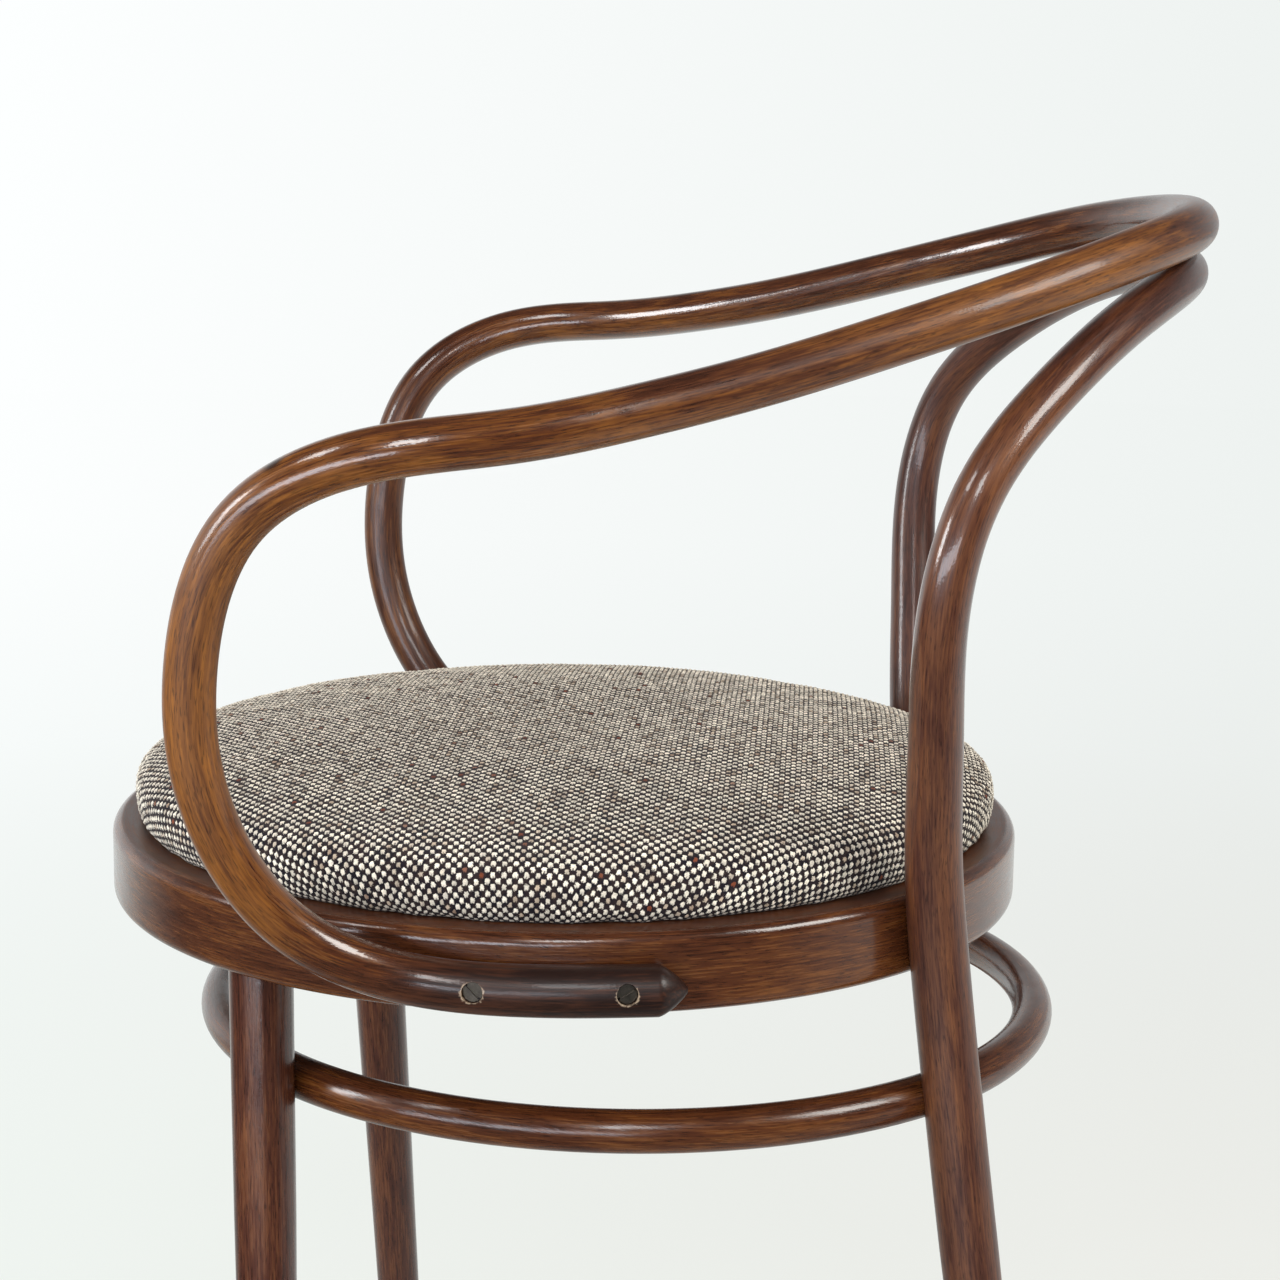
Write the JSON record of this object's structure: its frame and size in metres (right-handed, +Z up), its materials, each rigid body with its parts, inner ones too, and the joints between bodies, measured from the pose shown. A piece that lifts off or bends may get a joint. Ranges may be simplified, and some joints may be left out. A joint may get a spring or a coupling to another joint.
{
  "type": "bentwood armchair",
  "caption": "Steam-bent wooden armchair with a round upholstered seat pad, a bent rod for arms and back rail, an inner back bow and a leg hoop.",
  "frame": {"origin": "on the floor, under the middle of the chair's width and depth", "axes": "+Z up, +X to the sitter's left, the sitter looks along -Y"},
  "size_m": [0.5622, 0.499, 0.7483],
  "materials": {
    "beech_ring": "walnut-stained bent beech, glossy varnish",
    "beech_rail": "walnut-stained bent beech, glossy varnish",
    "beech_legs": "walnut-stained beech, glossy varnish",
    "beech_hoop": "walnut-stained bent beech, glossy varnish",
    "plywood": "raw plywood",
    "foam": "open foam",
    "tweed": "basket-woven tweed, cream on dark navy with rust flecks",
    "lining": "thin black lining cloth",
    "staple_steel": "plain wire",
    "aged_steel": "aged dark steel",
    "glide_steel": "nickelled steel"
  },
  "bodies": {
    "root": {"seat_ring": "beech_ring", "arm_bow": "beech_rail", "back_bow": "beech_legs", "front_leg_left": "beech_legs", "front_leg_right": "beech_legs", "leg_hoop": "beech_hoop", "seat_board": "plywood", "seat_foam": "foam", "seat_cover": "tweed", "dust_cover": "lining", "cover_staples": "staple_steel", "arm_screws_left": "aged_steel", "arm_screws_right": "aged_steel", "rear_leg_screws": "aged_steel", "tenon_screws": "aged_steel", "hoop_screws": "aged_steel", "bow_screws": "aged_steel", "pad_screws": "aged_steel", "foot_glides": "glide_steel"}
  },
  "joints": []
}
